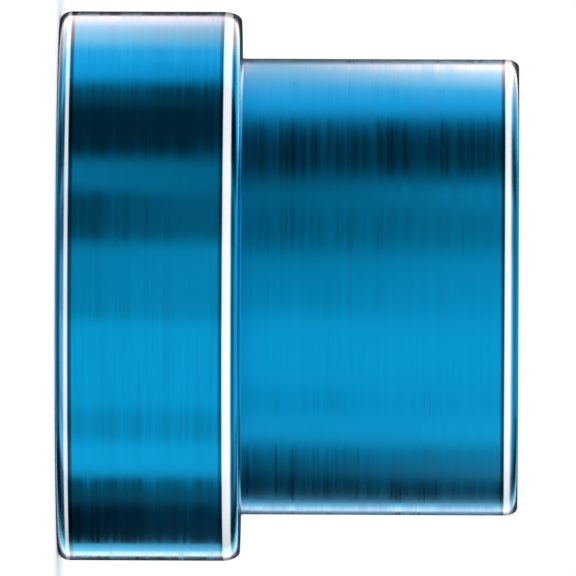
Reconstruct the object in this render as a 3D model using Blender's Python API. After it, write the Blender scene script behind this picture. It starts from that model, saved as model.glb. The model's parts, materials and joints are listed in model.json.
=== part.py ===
"""A one-piece sleeve for a flared tube fitting, turned from aluminium bar and anodised blue.

The tube slides through the plain bore and its flared end lies on the cone in the collar.
A coupling nut passes over the skirt and pulls on the shoulder behind the collar.
The sleeve stands on the front face of its collar: the origin is at that face's centre, and +Z
runs along the axis towards the skirt's end. Lengths are in metres.
"""

import math

import bmesh
import bpy
from mathutils import Vector

# The tube, and what turns on its size
TUBE_DIAMETER = 0.0127
BORE_CLEARANCE = 0.00013
SKIRT_WALL = 0.000705
SHOULDER_WIDTH = 0.001455

# Lengths along the axis
COLLAR_LENGTH = 0.00568
SKIRT_LENGTH = 0.00866

# The cone that the flare lies on, and the flat ring left in front of it
CONE_HALF_ANGLE = math.radians(37.0)
FRONT_LAND_WIDTH = 0.00052
MOUTH_BREAK = 0.00008
THROAT_RADIUS = 0.0006

# Outer corners, eased further along the axis than they are deep
FRONT_CORNER_LENGTH = 0.0004
FRONT_CORNER_DEPTH = 0.0003
REAR_CORNER_LENGTH = 0.00058
REAR_CORNER_DEPTH = 0.00028
SKIRT_CORNER_LENGTH = 0.0004
SKIRT_CORNER_DEPTH = 0.00025

# The inner corner behind the collar, and the broken edge of the bore
ROOT_FILLET_RADIUS = 0.0001
BORE_CHAMFER = 0.00012

# A corner takes no more than this share of the wall that it is cut on
CORNER_SHARE = 0.6
CHAMFER_SHARE = 0.2

# How finely the turned surfaces are divided
TURN_STEPS = 120
ARC_STEP = math.radians(16.0)
SHARP_ANGLE = math.radians(28.0)

# The dyed finish, as linear colour
ANODISED_BLUE = (0.002, 0.30, 0.60, 1.0)
FINISH_ROUGHNESS = 0.3

BORE_RADIUS = (TUBE_DIAMETER + BORE_CLEARANCE) / 2
SKIRT_RADIUS = BORE_RADIUS + SKIRT_WALL
COLLAR_RADIUS = SKIRT_RADIUS + SHOULDER_WIDTH
OVERALL_LENGTH = COLLAR_LENGTH + SKIRT_LENGTH


def clear_scene():
    for thing in list(bpy.data.objects):
        bpy.data.objects.remove(thing, do_unlink=True)


def arc(centre, depth, length, start, end):
    """Points along part of an ellipse, as (distance from the axis, height)."""
    steps = max(2, math.ceil(abs(end - start) / ARC_STEP - 1e-9))
    angles = (start + (end - start) * i / steps for i in range(steps + 1))
    return [(centre[0] + depth * math.cos(a), centre[1] + length * math.sin(a)) for a in angles]


def front_of_collar():
    """The flat ring that the sleeve stands on, and the rounded corner outside it."""
    depth = min(FRONT_CORNER_DEPTH, CORNER_SHARE * SHOULDER_WIDTH)
    length = FRONT_CORNER_LENGTH
    corner = arc((COLLAR_RADIUS - depth, length), depth, length, -math.pi / 2, 0.0)
    mouth_edge = (COLLAR_RADIUS - depth - FRONT_LAND_WIDTH, 0.0)
    return [mouth_edge, *corner]


def back_of_collar():
    """The rounded rear corner, and the shoulder as far as the fillet at the skirt's root."""
    depth = min(REAR_CORNER_DEPTH, CORNER_SHARE * SHOULDER_WIDTH)
    length = REAR_CORNER_LENGTH
    corner = arc((COLLAR_RADIUS - depth, COLLAR_LENGTH - length), depth, length, 0.0, math.pi / 2)
    fillet = min(ROOT_FILLET_RADIUS, CORNER_SHARE * SHOULDER_WIDTH)
    middle = (SKIRT_RADIUS + fillet, COLLAR_LENGTH + fillet)
    root = arc(middle, fillet, fillet, -math.pi / 2, -math.pi)
    return [*corner, *root]


def end_of_skirt():
    """The rounded outer corner, the end face, and the chamfer that leads the tube in."""
    depth = min(SKIRT_CORNER_DEPTH, CORNER_SHARE * SKIRT_WALL)
    length = SKIRT_CORNER_LENGTH
    corner = arc((SKIRT_RADIUS - depth, OVERALL_LENGTH - length), depth, length, 0.0, math.pi / 2)
    chamfer = min(BORE_CHAMFER, CHAMFER_SHARE * SKIRT_WALL)
    lead_in = [(BORE_RADIUS + chamfer, OVERALL_LENGTH), (BORE_RADIUS, OVERALL_LENGTH - chamfer)]
    return [*corner, *lead_in]


def flare_seat(mouth_radius):
    """The bore's blend into the cone, and the cone out to its broken edge at the front face."""
    slope = math.tan(CONE_HALF_ANGLE)
    mouth = (mouth_radius - MOUTH_BREAK, MOUTH_BREAK)
    cone_meets_bore = mouth[1] + (mouth[0] - BORE_RADIUS) / slope
    blend_height = cone_meets_bore + THROAT_RADIUS * math.tan(CONE_HALF_ANGLE / 2)
    centre = (BORE_RADIUS + THROAT_RADIUS, blend_height)
    blend = arc(centre, THROAT_RADIUS, THROAT_RADIUS, math.pi, math.pi + CONE_HALF_ANGLE)
    return [*blend, mouth]


def sleeve_profile():
    """The closed half section: out along the front face, up the outside, back down the bore."""
    front = front_of_collar()
    return [*front, *back_of_collar(), *end_of_skirt(), *flare_seat(front[0][0])]


def turn(name, profile):
    """A solid of revolution about Z from a closed half section."""
    mesh = bpy.data.meshes.new(name)
    bm = bmesh.new()
    points = [bm.verts.new((radius, 0.0, height)) for radius, height in profile]
    edges = [bm.edges.new((a, b)) for a, b in zip(points, points[1:] + points[:1])]
    bmesh.ops.spin(
        bm,
        geom=points + edges,
        cent=Vector(),
        axis=Vector((0.0, 0.0, 1.0)),
        angle=math.tau,
        steps=TURN_STEPS,
        use_merge=True,
    )
    bmesh.ops.recalc_face_normals(bm, faces=bm.faces)
    bm.to_mesh(mesh)
    bm.free()
    mesh.shade_smooth()
    mesh.set_sharp_from_angle(angle=SHARP_ANGLE)
    made = bpy.data.objects.new(name, mesh)
    bpy.context.scene.collection.objects.link(made)
    return made


def anodised_aluminium():
    """Bright turned aluminium under a clear blue dye."""
    material = bpy.data.materials.new("blue_anodised_aluminium")
    material.use_nodes = True
    material.diffuse_color = ANODISED_BLUE
    shader = material.node_tree.nodes["Principled BSDF"]
    shader.inputs["Base Color"].default_value = ANODISED_BLUE
    shader.inputs["Metallic"].default_value = 1.0
    shader.inputs["Roughness"].default_value = FINISH_ROUGHNESS
    return material


clear_scene()
sleeve = turn("sleeve", sleeve_profile())
sleeve.data.materials.append(anodised_aluminium())
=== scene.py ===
import json
import math

import bmesh
import bpy
from mathutils import Matrix, Vector


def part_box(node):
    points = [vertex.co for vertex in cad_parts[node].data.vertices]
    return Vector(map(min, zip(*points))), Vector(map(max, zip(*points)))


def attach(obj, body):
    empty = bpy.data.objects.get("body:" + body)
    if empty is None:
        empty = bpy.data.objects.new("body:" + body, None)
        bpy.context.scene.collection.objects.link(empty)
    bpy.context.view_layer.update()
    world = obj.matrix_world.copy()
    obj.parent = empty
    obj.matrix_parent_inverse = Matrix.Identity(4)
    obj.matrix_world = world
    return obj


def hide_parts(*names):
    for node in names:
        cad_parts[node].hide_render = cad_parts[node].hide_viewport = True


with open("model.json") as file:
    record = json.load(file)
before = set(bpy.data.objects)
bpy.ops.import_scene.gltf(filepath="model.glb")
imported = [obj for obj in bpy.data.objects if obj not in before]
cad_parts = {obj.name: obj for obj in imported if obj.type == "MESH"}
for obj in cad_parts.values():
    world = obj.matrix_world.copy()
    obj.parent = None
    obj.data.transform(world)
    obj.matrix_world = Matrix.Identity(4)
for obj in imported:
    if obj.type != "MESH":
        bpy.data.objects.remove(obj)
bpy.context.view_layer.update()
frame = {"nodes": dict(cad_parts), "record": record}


# The photograph's view.
# A long lens looks square at the axis, which lies level across the picture with the collar on
# the left, so the camera is rolled a quarter turn: up in the picture is -X, and right is +Z.

PICTURE_SIDE = 576  # pixels
COLLAR_ACROSS = 549.0  # the collar's diameter in the picture, in pixels
FRONT_FACE_AT = 59.1  # pixels from the left, for the axis end of the collar's front face
AXIS_AT = 286.6  # pixels from the top
LEAN = math.radians(0.25)  # how far the axis drops towards the skirt, in the picture
SQUARE_AT = 444.0  # pixels from the left, where the line of sight is square to the axis
CAMERA_DISTANCE = 0.7
NEAREST_SEEN = 0.01
FARTHEST_SEEN = 10.0
SENSOR = 36.0  # millimetres

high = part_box("sleeve")[1]
collar_radius = high.x
overall_length = high.z
pixel = 2 * collar_radius / COLLAR_ACROSS
centre = PICTURE_SIDE / 2
aim = Vector(((centre - AXIS_AT) * pixel, 0.0, (centre - FRONT_FACE_AT) * pixel))
eye = Vector((0.0, -CAMERA_DISTANCE, (SQUARE_AT - FRONT_FACE_AT) * pixel))
camera_data = bpy.data.cameras.new("long_lens")
camera_data.sensor_width = SENSOR
camera_data.lens = SENSOR * CAMERA_DISTANCE / (PICTURE_SIDE * pixel)
camera_data.clip_start = NEAREST_SEEN
camera_data.clip_end = FARTHEST_SEEN
camera = bpy.data.objects.new("camera", camera_data)
bpy.context.scene.collection.objects.link(camera)
back = (eye - aim).normalized()
up = Vector((-math.cos(LEAN), 0.0, -math.sin(LEAN)))
right = up.cross(back).normalized()
up = back.cross(right)
camera.matrix_world = Matrix.Translation(eye) @ Matrix((right, up, back)).transposed().to_4x4()
bpy.context.scene.camera = camera


# The sleeve.
# One piece, turned and bored from aluminium bar, then dyed blue in the anodising bath. The tool
# leaves fine rings all round. On the outer corners a white highlight is painted into the colour as a
# line, with a painted dark line of shade on each side of it. The root's crease gets a little painted
# shade, and the lead-in and the mouth's edge get a painted highlight.

FRONT_CORNER_LENGTH = 0.0004
FRONT_CORNER_DEPTH = 0.0003
REAR_CORNER_LENGTH = 0.00058
REAR_CORNER_DEPTH = 0.00028
SKIRT_CORNER_LENGTH = 0.0004
SKIRT_CORNER_DEPTH = 0.00025
ROOT_FILLET = 0.0001
LEAD_IN = 0.00012
MOUTH_BREAK = 0.00008
THROAT_RADIUS = 0.0006
CONE_HALF_ANGLE = math.radians(37.0)
ARC_STEP = math.radians(4.0)
LEAST_ARC_STEPS = 4
RING_GAP = 0.00002  # between the close rings where a straight run meets a corner
RINGS_AT_CORNER = 12
LONG_RUN = 0.004  # a straight run longer than this gets all its close rings
TURN_STEPS = 360
LATHE_RADIUS = 0.001  # of the circle that carries the section round

BAND_REACH = 0.0008  # how far the bands of an end face may run along the sleeve
# The distance from the face beside each corner, and the light painted into the colour there: 1 is a
# white painted highlight, and -1 is the darkest painted line of shade
# Painted highlight and painted shade lines beside each corner, not wear of the dye
FRONT_PAINTED_LIGHT_BANDS = ((0.0, -0.3), (0.00005, -0.3), (0.00008, -0.8), (0.00013, -0.8), (0.00017, 0.1),
               (0.00026, 0.1), (0.00029, 1.0), (0.00038, 1.0), (0.00042, -0.75), (0.00049, -0.75),
               (0.00054, 0.0))
REAR_PAINTED_LIGHT_BANDS = ((0.0, 0.0), (0.00012, 0.0), (0.00016, -0.7), (0.00021, -0.7), (0.00027, 1.0),
              (0.0005, 1.0), (0.00054, -0.6), (0.0006, -0.6), (0.00066, 0.0))
SKIRT_PAINTED_LIGHT_BANDS = ((0.0, -0.2), (0.00004, -0.2), (0.00008, -0.45), (0.00014, -0.45), (0.00018, 0.0),
               (0.00022, 0.25), (0.00027, 1.0), (0.00042, 1.0), (0.00046, -0.8), (0.00052, -0.8),
               (0.00057, 0.0))
# painted highlight on the lead-in's edge
LEAD_IN_PAINTED_HIGHLIGHT = 0.7  # at the broken edge of the mouth too
# painted shade in the crease of the root fillet
ROOT_PAINTED_SHADE = -0.1
BORED_ALL_ROUND = 0.9  # a face is bored only where all its corners are

DYE_BLUE = (0.0, 0.31, 0.62, 1.0)
# The white of the painted highlights, which are made less metallic so that they stay white
PAINTED_HIGHLIGHT_WHITE = (0.94, 0.98, 1.0, 1.0)
PAINTED_HIGHLIGHT_METALLIC = 0.1
FINE_FEED = 0.0001  # metres between one ring of the tool and the next
COARSE_FEED = 0.00035
RING_DEPTH = 0.000002
RING_DETAIL = 2.0
FILM_GLOSS = 0.12
FILM_IOR = 1.1
GROOVE_STRETCH = 0.35  # how far the grooves draw a highlight out across themselves
QUARTER_TURN = 0.25
RING_GLOSS = 0.55  # how much the roughness changes from ring to ring

shoulder = next(m for m in frame["record"]["mounts"] if m["name"] == "nut_shoulder")
collar_length = shoulder["pos_m"][2]
cad_rings = [(v.co.xy.length, v.co.z) for v in frame["nodes"]["sleeve"].data.vertices]
skirt_radius = max(r for r, z in cad_rings if z > overall_length / 2)
bore_radius = min(r for r, z in cad_rings if z > overall_length / 2)
mouth_radius = min(r for r, z in cad_rings if z < RING_GAP)


def arc(middle, depth, length, start, end):
    """Points along part of an ellipse between two angles, as (distance from the axis, height)."""
    start, end = math.radians(start), math.radians(end)
    steps = max(LEAST_ARC_STEPS, math.ceil(abs(end - start) / ARC_STEP))
    angles = (start + (end - start) * step / steps for step in range(steps + 1))
    return [Vector((middle[0] + depth * math.cos(a), middle[1] + length * math.sin(a))) for a in angles]


def section_corners():
    """The rounded corners of the half section, from the mouth out, up the outside and down the bore."""
    cone = math.degrees(CONE_HALF_ANGLE)
    slope = math.tan(CONE_HALF_ANGLE)
    cone_foot = mouth_radius - MOUTH_BREAK * (1.0 - slope)
    mouth_middle = cone_foot + MOUTH_BREAK * (1.0 - math.sin(CONE_HALF_ANGLE)) / math.cos(CONE_HALF_ANGLE)
    mouth = arc((mouth_middle, MOUTH_BREAK), MOUTH_BREAK, MOUTH_BREAK, 180 + cone, 270)
    middle = (collar_radius - FRONT_CORNER_DEPTH, FRONT_CORNER_LENGTH)
    front = arc(middle, FRONT_CORNER_DEPTH, FRONT_CORNER_LENGTH, -90, 0)
    middle = (collar_radius - REAR_CORNER_DEPTH, collar_length - REAR_CORNER_LENGTH)
    rear = arc(middle, REAR_CORNER_DEPTH, REAR_CORNER_LENGTH, 0, 90)
    middle = (skirt_radius + ROOT_FILLET, collar_length + ROOT_FILLET)
    root = arc(middle, ROOT_FILLET, ROOT_FILLET, 270, 180)
    middle = (skirt_radius - SKIRT_CORNER_DEPTH, overall_length - SKIRT_CORNER_LENGTH)
    skirt = arc(middle, SKIRT_CORNER_DEPTH, SKIRT_CORNER_LENGTH, 0, 90)
    middle = (bore_radius + LEAD_IN, overall_length - LEAD_IN)
    lead_in = arc(middle, LEAD_IN, LEAD_IN, 90, 180)
    throat_height = (cone_foot - bore_radius) / slope + THROAT_RADIUS * math.tan(CONE_HALF_ANGLE / 2)
    middle = (bore_radius + THROAT_RADIUS, throat_height)
    throat = arc(middle, THROAT_RADIUS, THROAT_RADIUS, 180, 180 + cone)
    return [mouth, front, rear, root, skirt, lead_in, throat]


def banded(distance, bands):
    """The value at a distance, read between the points of a list of bands."""
    for (near, near_value), (far, far_value) in zip(bands, bands[1:]):
        if near <= distance <= far:
            return near_value + (far_value - near_value) * (distance - near) / (far - near)
    return 0.0


def painted_edge_light(point):
    """Painted light in the colour: a white highlight with dark painted lines of shade beside it at the
    outer corners, a little painted shade in the root's crease, and a painted highlight at the lead-in and
    the mouth.
    """
    out, height = point
    if out > collar_radius - FRONT_CORNER_DEPTH and height < BAND_REACH:
        return banded(height, FRONT_PAINTED_LIGHT_BANDS)
    if out > collar_radius - REAR_CORNER_DEPTH:
        return banded(collar_length - height, REAR_PAINTED_LIGHT_BANDS)
    if out > skirt_radius - SKIRT_CORNER_DEPTH and height > overall_length - BAND_REACH:
        return banded(overall_length - height, SKIRT_PAINTED_LIGHT_BANDS)
    # a little painted shade in the root's crease
    if collar_length <= height < collar_length + ROOT_FILLET and out < skirt_radius + ROOT_FILLET:
        return ROOT_PAINTED_SHADE if out > skirt_radius else 0.0
    # a painted highlight at the lead-in and the mouth's edge
    if overall_length - LEAD_IN < height < overall_length or 0.0 < height < MOUTH_BREAK:
        return LEAD_IN_PAINTED_HIGHLIGHT
    return 0.0


def half_section():
    """The closed half section: the corners, with close rings where the straight runs meet them."""
    corners = section_corners()
    section = []
    for corner, following in zip(corners, corners[1:] + corners[:1]):
        run = following[0] - corner[-1]
        rings = RINGS_AT_CORNER if run.length > LONG_RUN else 1
        along = run.normalized() * RING_GAP
        section += corner
        section += [corner[-1] + along * ring for ring in range(1, rings + 1)]
        section += [following[0] - along * ring for ring in range(rings, 0, -1)]
    return section


def section_drawing():
    """The half section as a closed ring of edges, with the painted highlight and shade value and the zone
    at each point.
    """
    mesh = bpy.data.meshes.new("sleeve_section")
    bm = bmesh.new()
    painted_edge_light_layer = bm.verts.layers.float.new("dye_and_painted_edge_light")
    bored_layer = bm.verts.layers.float.new("bored")
    ring = []
    for point in half_section():
        vert = bm.verts.new((point.x, point.y, 0.0))
        # the painted highlight and shade value at this point
        vert[painted_edge_light_layer] = painted_edge_light(point)
        vert[bored_layer] = float(point.x < mouth_radius and point.y < overall_length - LEAD_IN)
        ring.append(vert)
    for start, end in zip(ring, ring[1:] + ring[:1]):
        bm.edges.new((start, end))
    bm.to_mesh(mesh)
    bm.free()
    drawing = bpy.data.objects.new("sleeve_section", mesh)
    bpy.context.scene.collection.objects.link(drawing)
    return drawing


def node(tree, kind, **settings):
    """A new node in a tree, with its settings."""
    made = tree.nodes.new(kind)
    for name, value in settings.items():
        setattr(made, name, value)
    return made


def math_node(tree, operation, first, second, third=None):
    """A Math node whose inputs are links or plain numbers; gives its output."""
    made = node(tree, "ShaderNodeMath", operation=operation)
    for socket, value in zip(made.inputs, (first, second, third)):
        if isinstance(value, bpy.types.NodeSocket):
            tree.links.new(value, socket)
        elif value is not None:
            socket.default_value = value
    return made.outputs[0]


def tool_rings_group():
    """Rings left by the tool, which run round the axis and fade slowly as they go."""
    group = bpy.data.node_groups.new("tool rings", "ShaderNodeTree")
    socket = group.interface.new_socket
    socket("Feed", in_out="INPUT", socket_type="NodeSocketFloat")
    socket("Wander", in_out="INPUT", socket_type="NodeSocketFloat")
    socket("Rings", in_out="OUTPUT", socket_type="NodeSocketFloat")
    given = node(group, "NodeGroupInput")
    result = node(group, "NodeGroupOutput")
    place = node(group, "ShaderNodeTexCoord")
    split = node(group, "ShaderNodeSeparateXYZ")
    flat = node(group, "ShaderNodeCombineXYZ")
    out_from_axis = node(group, "ShaderNodeVectorMath", operation="LENGTH")
    round_axis = node(group, "ShaderNodeVectorMath", operation="NORMALIZE")
    round_split = node(group, "ShaderNodeSeparateXYZ")
    run = node(group, "ShaderNodeCombineXYZ")
    noise = node(group, "ShaderNodeTexNoise", noise_dimensions="4D")
    noise.inputs["Scale"].default_value = 1.0
    noise.inputs["Detail"].default_value = RING_DETAIL
    link = group.links.new
    link(place.outputs["Object"], split.inputs[0])
    link(split.outputs["X"], flat.inputs["X"])
    link(split.outputs["Y"], flat.inputs["Y"])
    link(flat.outputs[0], out_from_axis.inputs[0])
    link(flat.outputs[0], round_axis.inputs[0])
    link(round_axis.outputs[0], round_split.inputs[0])
    feed, wander = given.outputs["Feed"], given.outputs["Wander"]
    link(math_node(group, "DIVIDE", out_from_axis.outputs["Value"], feed), run.inputs["X"])
    link(math_node(group, "DIVIDE", split.outputs["Z"], feed), run.inputs["Y"])
    link(math_node(group, "MULTIPLY", round_split.outputs["X"], wander), run.inputs["Z"])
    link(run.outputs[0], noise.inputs["Vector"])
    link(math_node(group, "MULTIPLY", round_split.outputs["Y"], wander), noise.inputs["W"])
    link(noise.outputs["Fac"], result.inputs["Rings"])
    return group


def dye_and_painted_edge_light_group():
    """The dyed film's colour: toned by the rings, with painted highlights and painted lines of shade from
    the piece's values.
    """
    group = bpy.data.node_groups.new("dyed film and painted edge light", "ShaderNodeTree")
    socket = group.interface.new_socket
    socket("Dye", in_out="INPUT", socket_type="NodeSocketColor")
    socket("Highlight White", in_out="INPUT", socket_type="NodeSocketColor")
    socket("Rings", in_out="INPUT", socket_type="NodeSocketFloat")
    socket("Ring Tone", in_out="INPUT", socket_type="NodeSocketFloat")
    socket("Colour", in_out="OUTPUT", socket_type="NodeSocketColor")
    socket("Painted Highlight", in_out="OUTPUT", socket_type="NodeSocketFloat")
    given = node(group, "NodeGroupInput")
    result = node(group, "NodeGroupOutput")
    # Above 0 the value paints a white highlight; below 0 it paints a dark line of shade
    painted_edge_light_value = node(group, "ShaderNodeAttribute", attribute_name="dye_and_painted_edge_light")
    painted_highlight = math_node(group, "MAXIMUM", painted_edge_light_value.outputs["Fac"], 0.0)
    painted_shade_lines = math_node(group, "MINIMUM", painted_edge_light_value.outputs["Fac"], 0.0)
    centred = math_node(group, "SUBTRACT", given.outputs["Rings"], 0.5)
    tone = math_node(group, "MULTIPLY_ADD", centred, given.outputs["Ring Tone"], 1.0)
    level = math_node(group, "ADD", tone, painted_shade_lines)
    toned = node(group, "ShaderNodeVectorMath", operation="SCALE")
    highlighted = node(group, "ShaderNodeMix", data_type="RGBA")
    link = group.links.new
    link(given.outputs["Dye"], toned.inputs[0])
    link(level, toned.inputs["Scale"])
    link(painted_highlight, highlighted.inputs["Factor"])
    link(toned.outputs[0], highlighted.inputs["A"])
    link(given.outputs["Highlight White"], highlighted.inputs["B"])
    link(highlighted.outputs["Result"], result.inputs["Colour"])
    link(painted_highlight, result.inputs["Painted Highlight"])
    return group


def blue_finish(name, roughness, ring_tone, wander):
    """Turned aluminium under a clear blue film, with the tool's rings in its gloss and its tone."""
    material = bpy.data.materials.new(name)
    material.use_nodes = True
    tree = material.node_tree
    link = tree.links.new
    shader = tree.nodes["Principled BSDF"]
    shader.inputs["Coat Weight"].default_value = 1.0
    shader.inputs["Coat Roughness"].default_value = FILM_GLOSS
    shader.inputs["Coat IOR"].default_value = FILM_IOR
    shader.inputs["Anisotropic"].default_value = GROOVE_STRETCH
    shader.inputs["Anisotropic Rotation"].default_value = QUARTER_TURN
    fine = node(tree, "ShaderNodeGroup", node_tree=tool_rings)
    fine.inputs["Feed"].default_value = FINE_FEED
    fine.inputs["Wander"].default_value = wander
    coarse = node(tree, "ShaderNodeGroup", node_tree=tool_rings)
    coarse.inputs["Feed"].default_value = COARSE_FEED
    coarse.inputs["Wander"].default_value = wander
    both = math_node(tree, "ADD", fine.outputs["Rings"], coarse.outputs["Rings"])
    rings = math_node(tree, "MULTIPLY", both, 0.5)
    # The dye's colour, with the painted highlights and painted shade lines of the corners
    dye_and_painted_edge_light = node(tree, "ShaderNodeGroup", node_tree=dyed_film_and_painted_edge_light)
    dye_and_painted_edge_light.inputs["Dye"].default_value = DYE_BLUE
    dye_and_painted_edge_light.inputs["Highlight White"].default_value = PAINTED_HIGHLIGHT_WHITE
    dye_and_painted_edge_light.inputs["Ring Tone"].default_value = ring_tone
    bump = node(tree, "ShaderNodeBump")
    bump.inputs["Strength"].default_value = 1.0
    bump.inputs["Distance"].default_value = RING_DEPTH
    # less metallic where the highlight is painted
    metallic = math_node(tree, "MULTIPLY_ADD", dye_and_painted_edge_light.outputs["Painted Highlight"], PAINTED_HIGHLIGHT_METALLIC - 1.0, 1.0)
    ring_gloss = math_node(tree, "MULTIPLY_ADD", rings, RING_GLOSS, roughness - RING_GLOSS / 2)
    link(rings, dye_and_painted_edge_light.inputs["Rings"])
    link(dye_and_painted_edge_light.outputs["Colour"], shader.inputs["Base Color"])
    link(metallic, shader.inputs["Metallic"])
    link(ring_gloss, shader.inputs["Roughness"])
    link(fine.outputs["Rings"], bump.inputs["Height"])
    link(bump.outputs["Normal"], shader.inputs["Normal"])
    return material


def lathe_tree():
    """Geometry nodes that carry a half section round the axis and give each zone its finish."""
    tree = bpy.data.node_groups.new("turned on the lathe", "GeometryNodeTree")
    socket = tree.interface.new_socket
    socket("Section", in_out="INPUT", socket_type="NodeSocketGeometry")
    inputs = {
        "Turn Steps": socket("Turn Steps", in_out="INPUT", socket_type="NodeSocketInt"),
        "Lathe Radius": socket("Lathe Radius", in_out="INPUT", socket_type="NodeSocketFloat"),
        "Outside": socket("Outside", in_out="INPUT", socket_type="NodeSocketMaterial"),
        "Inside": socket("Inside", in_out="INPUT", socket_type="NodeSocketMaterial"),
    }
    socket("Turned", in_out="OUTPUT", socket_type="NodeSocketGeometry")
    given = node(tree, "NodeGroupInput")
    result = node(tree, "NodeGroupOutput")
    outline = node(tree, "GeometryNodeMeshToCurve")
    shift = node(tree, "ShaderNodeCombineXYZ")
    place = node(tree, "GeometryNodeTransform")
    place.inputs["Scale"].default_value = (1.0, -1.0, 1.0)
    circle = node(tree, "GeometryNodeCurvePrimitiveCircle")
    sweep = node(tree, "GeometryNodeCurveToMesh")
    smooth = node(tree, "GeometryNodeSetShadeSmooth")
    realize = node(tree, "GeometryNodeRealizeInstances")
    outside = node(tree, "GeometryNodeSetMaterial")
    zone = node(tree, "GeometryNodeInputNamedAttribute", data_type="FLOAT")
    zone.inputs["Name"].default_value = "bored"
    is_bored = math_node(tree, "GREATER_THAN", zone.outputs["Attribute"], BORED_ALL_ROUND)
    inside = node(tree, "GeometryNodeSetMaterial")
    link = tree.links.new
    link(given.outputs["Section"], outline.inputs["Mesh"])
    link(outline.outputs["Curve"], place.inputs["Geometry"])
    link(math_node(tree, "MULTIPLY", given.outputs["Lathe Radius"], -1.0), shift.inputs["X"])
    link(shift.outputs[0], place.inputs["Translation"])
    link(given.outputs["Turn Steps"], circle.inputs["Resolution"])
    link(given.outputs["Lathe Radius"], circle.inputs["Radius"])
    link(circle.outputs["Curve"], sweep.inputs["Curve"])
    link(place.outputs["Geometry"], sweep.inputs["Profile Curve"])
    link(sweep.outputs["Mesh"], smooth.inputs["Geometry"])
    link(smooth.outputs["Geometry"], realize.inputs["Geometry"])
    link(realize.outputs["Geometry"], outside.inputs["Geometry"])
    link(given.outputs["Outside"], outside.inputs["Material"])
    link(outside.outputs["Geometry"], inside.inputs["Geometry"])
    link(is_bored, inside.inputs["Selection"])
    link(given.outputs["Inside"], inside.inputs["Material"])
    link(inside.outputs["Geometry"], result.inputs["Turned"])
    return tree, inputs


def turned_sleeve(drawing, outside, inside):
    """The drawing turned into the sleeve's mesh, with its faces pointing outwards."""
    tree, inputs = lathe_tree()
    lathe = drawing.modifiers.new("lathe", "NODES")
    lathe.node_group = tree
    lathe[inputs["Turn Steps"].identifier] = TURN_STEPS
    lathe[inputs["Lathe Radius"].identifier] = LATHE_RADIUS
    lathe[inputs["Outside"].identifier] = outside
    lathe[inputs["Inside"].identifier] = inside
    bpy.context.view_layer.update()
    depsgraph = bpy.context.evaluated_depsgraph_get()
    evaluated = drawing.evaluated_get(depsgraph)
    mesh = bpy.data.meshes.new_from_object(evaluated, preserve_all_data_layers=True, depsgraph=depsgraph)
    drawing.modifiers.remove(lathe)
    bpy.data.objects.remove(drawing, do_unlink=True)
    bm = bmesh.new()
    bm.from_mesh(mesh)
    bmesh.ops.recalc_face_normals(bm, faces=bm.faces)
    bm.to_mesh(mesh)
    bm.free()
    mesh.name = "dyed_sleeve"
    made = bpy.data.objects.new("dyed_sleeve", mesh)
    bpy.context.scene.collection.objects.link(made)
    return made


tool_rings = tool_rings_group()
dyed_film_and_painted_edge_light = dye_and_painted_edge_light_group()
turned_blue = blue_finish("blue_turned_outside", roughness=0.19, ring_tone=0.7, wander=1.6)
bored_blue = blue_finish("blue_bored_inside", roughness=0.32, ring_tone=0.4, wander=1.2)
sleeve = turned_sleeve(section_drawing(), turned_blue, bored_blue)
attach(sleeve, "root")
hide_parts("sleeve")


# The studio.
# The sleeve stands on a white table in an even white room. A curved screen stands round it, and only
# the metal sees it. Its strips were set after the photograph's bands, for the photograph's camera, so
# it isn't plain light.

SCREEN_DISTANCE = 0.03
SCREEN_LOW = -0.04
SCREEN_HIGH = 0.055
SCREEN_STEP = 3.0  # degrees
SEAM = 0.00001  # the height of even light on each screen, where the two meet
# The strips' tints, as linear colour
WHITE = (1.0, 1.0, 1.0)
WARM = (1.2, 0.76, 0.65)
ROSY = (1.2, 0.66, 0.5)
COOL = (0.3, 0.9, 1.0)
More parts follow.
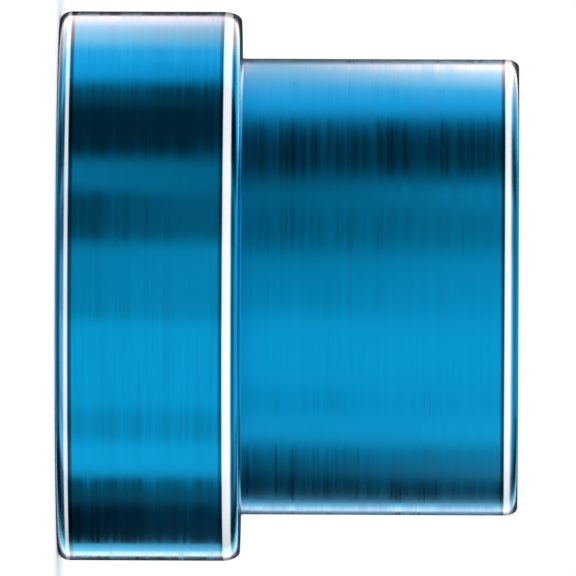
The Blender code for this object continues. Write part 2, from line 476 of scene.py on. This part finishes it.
# The strips come in order from the picture's top to its bottom. Each has the direction in which the
# metal mirrors its upper edge to the camera, in degrees up from the camera's side, and the degrees
# over which it fades in. Two edges lie further apart than half of both their fades together. Then
# come its level, beside the room's 1, and its colour in four places: at the collar's face, at the
# shoulder for the collar and for the skirt, and at the skirt's end.
STRIPS = (
    (180.0, 1.0, (0.03, WHITE), (0.03, WHITE), (0.03, WHITE), (0.03, WHITE)),  # upper outline
    (158.5, 1.0, (2.5, WARM), (1.9, WARM), (0.03, WHITE), (0.03, WHITE)),  # upper rim
    (155.0, 1.0, (2.5, WARM), (1.9, WARM), (0.8, COOL), (4.6, ROSY)),  # upper glare
    (143.0, 6.0, (2.1, WARM), (1.5, WARM), (0.95, COOL), (3.0, ROSY)),  # upper bright
    (122.0, 8.0, (1.25, COOL), (1.15, COOL), (1.2, COOL), (1.3, COOL)),  # upper pale
    (106.0, 8.0, (1.25, COOL), (0.8, COOL), (1.2, COOL), (1.3, COOL)),  # upper dusk
    (96.0, 8.0, (0.2, WHITE), (0.06, WHITE), (0.0, WHITE), (0.05, WHITE)),  # upper shade
    (84.0, 8.0, (0.05, WHITE), (0.06, WHITE), (0.0, WHITE), (0.05, WHITE)),  # upper dark
    (55.0, 7.0, (0.5, WHITE), (0.38, WHITE), (0.14, WHITE), (0.86, WHITE)),  # upper grey
    (41.0, 6.0, (0.1, WHITE), (0.45, WHITE), (0.0, WHITE), (0.54, WHITE)),  # upper dim
    (18.0, 6.0, (0.6, WHITE), (0.85, WHITE), (0.4, WHITE), (0.92, WHITE)),  # front grey
    (-14.0, 4.0, (1.0, WHITE), (1.0, WHITE), (1.0, WHITE), (1.04, WHITE)),  # front white
    (-53.0, 8.0, (0.75, WHITE), (0.75, WHITE), (0.55, WHITE), (1.0, WHITE)),  # lower pale
    (-68.0, 6.0, (1.12, WHITE), (1.05, WHITE), (0.95, WHITE), (1.15, WHITE)),  # lower edge
    (-87.0, 6.0, (0.14, WHITE), (0.28, WHITE), (0.0, WHITE), (0.66, WHITE)),  # lower grey
    (-104.0, 8.0, (0.02, COOL), (0.1, COOL), (0.0, WHITE), (0.66, WHITE)),  # lower dusk
    (-115.0, 12.0, (0.02, COOL), (0.1, COOL), (0.0, COOL), (0.06, COOL)),  # lower dark
    (-139.5, 1.0, (1.25, COOL), (1.0, COOL), (0.0, COOL), (0.06, COOL)),  # lower turn
    (-142.0, 1.0, (1.25, COOL), (1.0, COOL), (1.35, COOL), (1.35, COOL)),  # lower bright
    (-150.0, 1.0, (2.0, WHITE), (1.8, WHITE), (2.0, WHITE), (2.0, WHITE)),  # lower glare
    (-158.5, 1.0, (0.03, WHITE), (0.03, WHITE), (0.03, WHITE), (0.03, WHITE)),  # lower outline
)
ON_COLLAR = slice(0, 2)  # a strip's places on the collar, and on the skirt
ON_SKIRT = slice(2, 4)
TABLE_SIZE = 6.0
TABLE_WHITE = 0.92
TABLE_ROUGHNESS = 0.9
TABLE_LIFT = 0.12  # what the camera adds to the table, so that it is white outside the shadow
SOFTBOX_AT = (-0.06, -0.08, 0.3)
SOFTBOX_SIZE = 0.14
SOFTBOX_LEVEL = 2.0


def screen_columns(places):
    """Upright lines round the screen: the mirrored direction, and the light at its foot and head."""
    columns = []
    lower_edges = [(strip[0], strip[1]) for strip in STRIPS[1:]] + [(-180.0, 0.0)]
    for (top, fade, *lights), (bottom, next_fade) in zip(STRIPS, lower_edges):
        first, last = top - fade / 2, bottom + next_fade / 2
        count = math.ceil((first - last) / SCREEN_STEP)
        foot_and_head = [[channel * level for channel in tint] for level, tint in lights[places]]
        directions = (first + (last - first) * step / count for step in range(count + 1))
        columns += [(direction, *foot_and_head) for direction in directions]
    return columns


def only_in_reflections(panel):
    """Hide a panel from the camera and from the light on the table."""
    panel.visible_camera = False
    panel.visible_diffuse = False
    panel.visible_transmission = False
    panel.visible_volume_scatter = False
    panel.visible_shadow = False


def screen_angle(mirrored, radius):
    """Where the screen stands, for the metal at a radius to mirror it in a direction."""
    across = radius / SCREEN_DISTANCE * math.sin(math.radians(mirrored) / 2)
    return math.radians(mirrored) - math.asin(across)


def strip_light():
    """A glow of the colour that each point of the screen carries."""
    material = bpy.data.materials.new("screen_light")
    material.use_nodes = True
    tree = material.node_tree
    tree.nodes.clear()
    carried = node(tree, "ShaderNodeAttribute", attribute_name="light")
    glow = node(tree, "ShaderNodeEmission")
    surface = node(tree, "ShaderNodeOutputMaterial")
    tree.links.new(carried.outputs["Color"], glow.inputs["Color"])
    tree.links.new(glow.outputs[0], surface.inputs["Surface"])
    return material


def screen(name, places, radius, heights):
    """The screen round the collar or the skirt: even below its foot and above its head."""
    mesh = bpy.data.meshes.new(name)
    bm = bmesh.new()
    light_layer = bm.verts.layers.float_color.new("light")
    lines = []
    for mirrored, foot, head in screen_columns(places):
        angle = screen_angle(mirrored, radius)
        x, y = -SCREEN_DISTANCE * math.sin(angle), -SCREEN_DISTANCE * math.cos(angle)
        line = []
        for height, light in zip(heights, (foot, foot, head, head)):
            vert = bm.verts.new((x, y, height))
            vert[light_layer] = (*light, 1.0)
            line.append(vert)
        lines.append(line)
    for line, following in zip(lines, lines[1:]):
        for row in range(len(heights) - 1):
            bm.faces.new((line[row], following[row], following[row + 1], line[row + 1]))
    bm.to_mesh(mesh)
    bm.free()
    mesh.materials.append(screen_light)
    panel = bpy.data.objects.new(name, mesh)
    bpy.context.scene.collection.objects.link(panel)
    only_in_reflections(panel)


screen_light = strip_light()
collar_heights = (SCREEN_LOW, 0.0, collar_length - SEAM, collar_length)
screen("collar_screen", ON_COLLAR, collar_radius, collar_heights)
skirt_heights = (collar_length, collar_length + SEAM, overall_length, SCREEN_HIGH)
screen("skirt_screen", ON_SKIRT, skirt_radius, skirt_heights)

table_material = bpy.data.materials.new("white_table")
table_material.use_nodes = True
table_nodes = table_material.node_tree
table_shader = table_nodes.nodes["Principled BSDF"]
table_shader.inputs["Base Color"].default_value = (TABLE_WHITE, TABLE_WHITE, TABLE_WHITE, 1.0)
table_shader.inputs["Roughness"].default_value = TABLE_ROUGHNESS
table_shader.inputs["Specular IOR Level"].default_value = 0.0
table_shader.inputs["Emission Color"].default_value = (*WHITE, 1.0)
table_view = node(table_nodes, "ShaderNodeLightPath")
table_lift = math_node(table_nodes, "MULTIPLY", table_view.outputs["Is Camera Ray"], TABLE_LIFT)
table_nodes.links.new(table_lift, table_shader.inputs["Emission Strength"])

table_mesh = bpy.data.meshes.new("table")
table_bm = bmesh.new()
bmesh.ops.create_grid(table_bm, x_segments=1, y_segments=1, size=TABLE_SIZE / 2)
table_bm.to_mesh(table_mesh)
table_bm.free()
table_mesh.materials.append(table_material)
table = bpy.data.objects.new("table", table_mesh)
table.visible_glossy = False
bpy.context.scene.collection.objects.link(table)


def softbox(name, at, size, brightness):
    """A square lamp aimed at the sleeve, whose face is as bright as given beside the room."""
    lamp_data = bpy.data.lights.new(name, "AREA")
    lamp_data.shape = "SQUARE"
    lamp_data.size = size
    lamp_data.energy = brightness * math.pi * size * size
    lamp = bpy.data.objects.new(name, lamp_data)
    bpy.context.scene.collection.objects.link(lamp)
    towards = Vector((0.0, 0.0, overall_length / 2)) - Vector(at)
    turn = towards.to_track_quat("-Z", "Y")
    lamp.matrix_world = Matrix.Translation(at) @ turn.to_matrix().to_4x4()
    lamp.visible_camera = False
    lamp.visible_glossy = False


softbox("overhead_softbox", SOFTBOX_AT, SOFTBOX_SIZE, SOFTBOX_LEVEL)

world = bpy.data.worlds.new("white_room")
bpy.context.scene.world = world
world.use_nodes = True
room = world.node_tree
room_shader = room.nodes["Background"]
room_shader.inputs["Color"].default_value = (*WHITE, 1.0)
room_shader.inputs["Strength"].default_value = 1.0

bpy.context.scene.view_settings.view_transform = "Standard"
